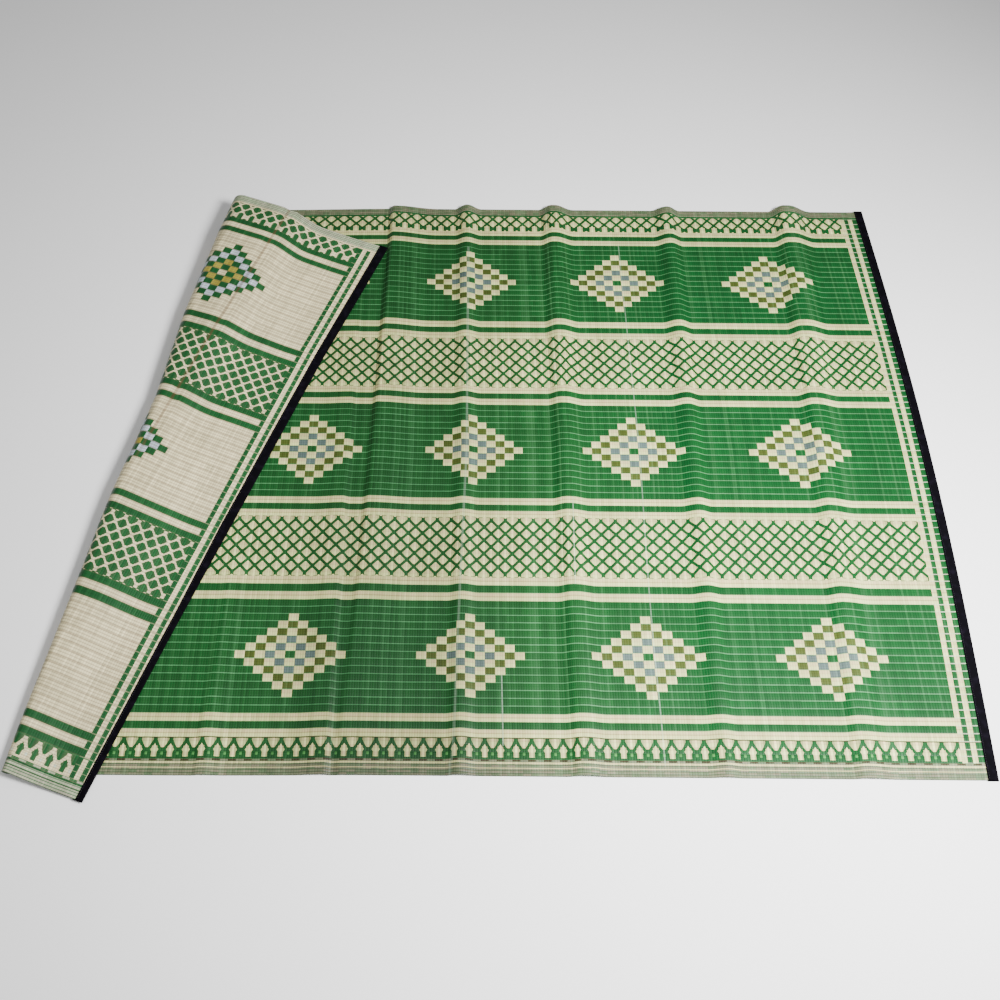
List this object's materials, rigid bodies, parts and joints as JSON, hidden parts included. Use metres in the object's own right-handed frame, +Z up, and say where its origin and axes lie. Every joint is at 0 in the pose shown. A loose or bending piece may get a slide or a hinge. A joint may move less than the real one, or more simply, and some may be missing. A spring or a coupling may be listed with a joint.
{
  "type": "woven plastic mat",
  "caption": "Flat woven plastic floor mat with tape-bound ends, one end folded back over the mat at a slant.",
  "frame": {"origin": "centre of the outline's box, on the floor that the mat lies on", "axes": "+X along the mat from the folded end to the flat bound end, +Y towards the far selvedge, +Z up"},
  "size_m": [1.8464, 1.5508, 0.0647],
  "materials": {
    "woven_plastic": "satin woven plastic straw",
    "edge_tape": "matt woven tape"
  },
  "bodies": {
    "root": {"mat_panel": "woven_plastic", "binding_right": "edge_tape", "binding_left": "edge_tape"}
  },
  "joints": []
}
